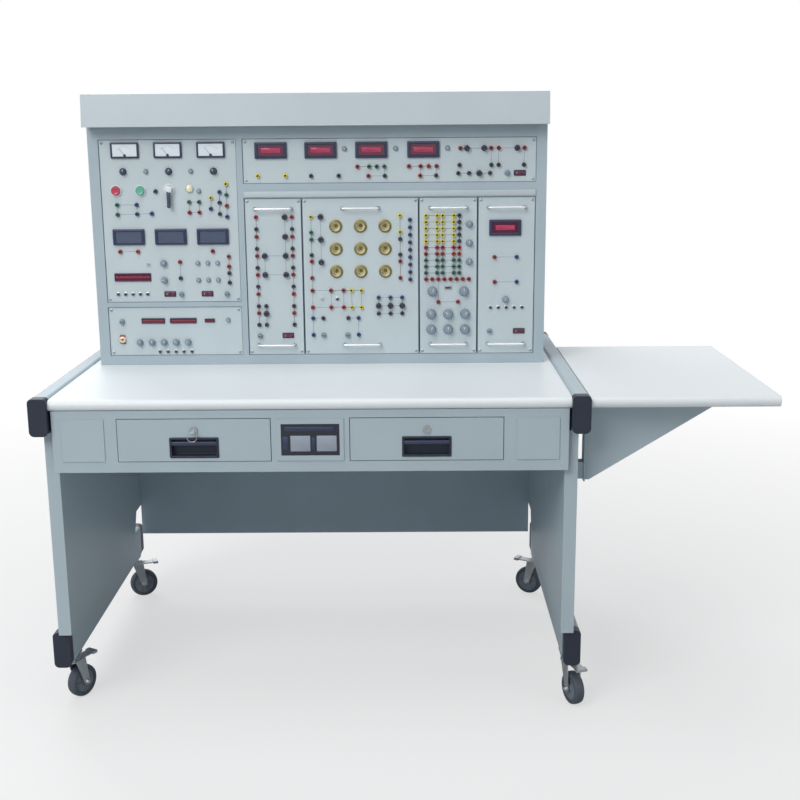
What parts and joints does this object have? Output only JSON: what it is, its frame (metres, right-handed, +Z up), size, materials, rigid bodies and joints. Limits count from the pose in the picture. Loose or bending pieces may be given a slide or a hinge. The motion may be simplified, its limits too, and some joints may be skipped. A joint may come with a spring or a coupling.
{
  "type": "electrical teaching bench",
  "caption": "Mobile teaching bench with drawers, side shelf and an instrument console of meters, practical modules, coloured sockets, knobs and switches.",
  "frame": {"origin": "centre of the whole bench's bounding box, on the floor", "axes": "+X to the user's right, along the side shelf; +Y away from the user, towards the back of the console; +Z up"},
  "size_m": [1.687, 0.882, 1.456],
  "materials": {
    "paint": "satin",
    "panel_paint": "satin",
    "painted_board": "satin paint",
    "board": "satin laminate",
    "cap": "moulded",
    "dark": "matte",
    "red": "gloss",
    "yellow": "gloss",
    "green": "gloss",
    "blue": "gloss",
    "brass": "polished",
    "zinc": "zinc plated",
    "chrome": "polished",
    "meter": "gloss",
    "meter_light": "gloss",
    "knob": "matte",
    "wheel": "matte"
  },
  "bodies": {
    "bench": {"side_panels": "painted_board", "top_rails": "paint", "foot_rails": "paint", "end_caps": "cap", "desk_top": "board", "drawer_cabinet": "paint", "blank_panels": "panel_paint", "nameplate": "dark", "modesty_panel": "painted_board", "console_shell": "paint", "console_frame": "paint", "canopy": "panel_paint", "power_panel": "panel_paint", "signal_panel": "panel_paint", "meter_panel": "panel_paint", "module_one": "panel_paint", "module_two": "panel_paint", "module_three": "panel_paint", "module_four": "panel_paint", "module_handles": "chrome", "side_shelf": "board", "shelf_brackets": "paint", "red_sockets": "red", "black_sockets": "dark", "yellow_sockets": "yellow", "green_sockets": "green", "blue_sockets": "blue", "lamp_holders": "brass", "analog_meters": "meter_light", "digital_meters": "meter", "fuse_holders": "knob", "small_controls": "knob", "fixings": "zinc", "caster_plates": "zinc"},
    "left_drawer": {"left_drawer": "panel_paint", "left_pull": "cap"},
    "right_drawer": {"right_drawer": "panel_paint", "right_pull": "cap"},
    "left_lock": {"left_lock": "zinc"},
    "right_lock": {"right_lock": "zinc"},
    "stop_button": {"stop_button": "red"},
    "start_button": {"start_button": "green"},
    "key_switch": {"key_switch": "dark"},
    "signal_rocker": {"signal_rocker": "red"},
    "resistor_knob_1": {"resistor_knob_1": "knob"},
    "resistor_knob_2": {"resistor_knob_2": "knob"},
    "resistor_knob_3": {"resistor_knob_3": "knob"},
    "resistor_knob_4": {"resistor_knob_4": "knob"},
    "resistor_knob_5": {"resistor_knob_5": "knob"},
    "resistor_knob_6": {"resistor_knob_6": "knob"},
    "resistor_knob_7": {"resistor_knob_7": "knob"},
    "resistor_knob_8": {"resistor_knob_8": "knob"},
    "front_left_fork": {"front_left_fork": "zinc"},
    "front_left_wheel": {"front_left_wheel": "wheel"},
    "front_right_fork": {"front_right_fork": "zinc"},
    "front_right_wheel": {"front_right_wheel": "wheel"},
    "rear_left_fork": {"rear_left_fork": "zinc"},
    "rear_left_wheel": {"rear_left_wheel": "wheel"},
    "rear_right_fork": {"rear_right_fork": "zinc"},
    "rear_right_wheel": {"rear_right_wheel": "wheel"}
  },
  "joints": [
    {"name": "left_drawer_slide", "type": "slide", "parent": "bench", "child": "left_drawer", "axis": [0, -1, 0], "range_m": [0, 0.3]},
    {"name": "right_drawer_slide", "type": "slide", "parent": "bench", "child": "right_drawer", "axis": [0, -1, 0], "range_m": [0, 0.3]},
    {"name": "left_lock_turn", "type": "hinge", "parent": "left_drawer", "child": "left_lock", "pos_m": [-0.4755, -0.412, 0.709], "axis": [0, -1, 0], "range_deg": [0, 90]},
    {"name": "right_lock_turn", "type": "hinge", "parent": "right_drawer", "child": "right_lock", "pos_m": [0.0505, -0.412, 0.709], "axis": [0, -1, 0], "range_deg": [0, 90]},
    {"name": "stop_button_press", "type": "slide", "parent": "bench", "child": "stop_button", "axis": [0, 1, 0], "range_m": [0, 0.004], "stiffness_N_per_m": 600},
    {"name": "start_button_press", "type": "slide", "parent": "bench", "child": "start_button", "axis": [0, 1, 0], "range_m": [0, 0.004], "stiffness_N_per_m": 600},
    {"name": "key_switch_turn", "type": "hinge", "parent": "bench", "child": "key_switch", "pos_m": [-0.5855, 0.006, 1.226], "axis": [0, -1, 0], "range_deg": [-45, 45]},
    {"name": "signal_rocker_tilt", "type": "hinge", "parent": "bench", "child": "signal_rocker", "pos_m": [-0.7235, 0.006, 0.846], "axis": [1, 0, 0], "range_deg": [-12, 12]},
    {"name": "resistor_knob_1_turn", "type": "hinge", "parent": "bench", "child": "resistor_knob_1", "pos_m": [0.0725, 0.006, 0.965], "axis": [0, -1, 0], "range_deg": [-150, 150]},
    {"name": "resistor_knob_2_turn", "type": "hinge", "parent": "bench", "child": "resistor_knob_2", "pos_m": [0.1525, 0.006, 0.965], "axis": [0, -1, 0], "range_deg": [-150, 150]},
    {"name": "resistor_knob_3_turn", "type": "hinge", "parent": "bench", "child": "resistor_knob_3", "pos_m": [0.0695, 0.006, 0.907], "axis": [0, -1, 0], "range_deg": [-150, 150]},
    {"name": "resistor_knob_4_turn", "type": "hinge", "parent": "bench", "child": "resistor_knob_4", "pos_m": [0.1125, 0.006, 0.907], "axis": [0, -1, 0], "range_deg": [-150, 150]},
    {"name": "resistor_knob_5_turn", "type": "hinge", "parent": "bench", "child": "resistor_knob_5", "pos_m": [0.1555, 0.006, 0.907], "axis": [0, -1, 0], "range_deg": [-150, 150]},
    {"name": "resistor_knob_6_turn", "type": "hinge", "parent": "bench", "child": "resistor_knob_6", "pos_m": [0.0695, 0.006, 0.867], "axis": [0, -1, 0], "range_deg": [-150, 150]},
    {"name": "resistor_knob_7_turn", "type": "hinge", "parent": "bench", "child": "resistor_knob_7", "pos_m": [0.1125, 0.006, 0.867], "axis": [0, -1, 0], "range_deg": [-150, 150]},
    {"name": "resistor_knob_8_turn", "type": "hinge", "parent": "bench", "child": "resistor_knob_8", "pos_m": [0.1555, 0.006, 0.867], "axis": [0, -1, 0], "range_deg": [-150, 150]},
    {"name": "front_left_swivel", "type": "hinge", "parent": "bench", "child": "front_left_fork", "pos_m": [-0.8205, -0.309, 0.118], "axis": [0, 0, 1], "continuous": true},
    {"name": "front_left_wheel_turn", "type": "hinge", "parent": "front_left_fork", "child": "front_left_wheel", "pos_m": [-0.8055, -0.28302, 0.04], "axis": [-0.866, 0.5, 0], "continuous": true},
    {"name": "front_right_swivel", "type": "hinge", "parent": "bench", "child": "front_right_fork", "pos_m": [0.3955, -0.309, 0.118], "axis": [0, 0, 1], "continuous": true},
    {"name": "front_right_wheel_turn", "type": "hinge", "parent": "front_right_fork", "child": "front_right_wheel", "pos_m": [0.40576, -0.33719, 0.04], "axis": [0.9397, 0.342, 0], "continuous": true},
    {"name": "rear_left_swivel", "type": "hinge", "parent": "bench", "child": "rear_left_fork", "pos_m": [-0.8205, 0.363, 0.118], "axis": [0, 0, 1], "continuous": true},
    {"name": "rear_left_wheel_turn", "type": "hinge", "parent": "rear_left_fork", "child": "rear_left_wheel", "pos_m": [-0.79231, 0.37326, 0.04], "axis": [-0.342, 0.9397, 0], "continuous": true},
    {"name": "rear_right_swivel", "type": "hinge", "parent": "bench", "child": "rear_right_fork", "pos_m": [0.3955, 0.363, 0.118], "axis": [0, 0, 1], "continuous": true},
    {"name": "rear_right_wheel_turn", "type": "hinge", "parent": "rear_right_fork", "child": "rear_right_wheel", "pos_m": [0.36952, 0.378, 0.04], "axis": [-0.5, -0.866, 0], "continuous": true}
  ]
}
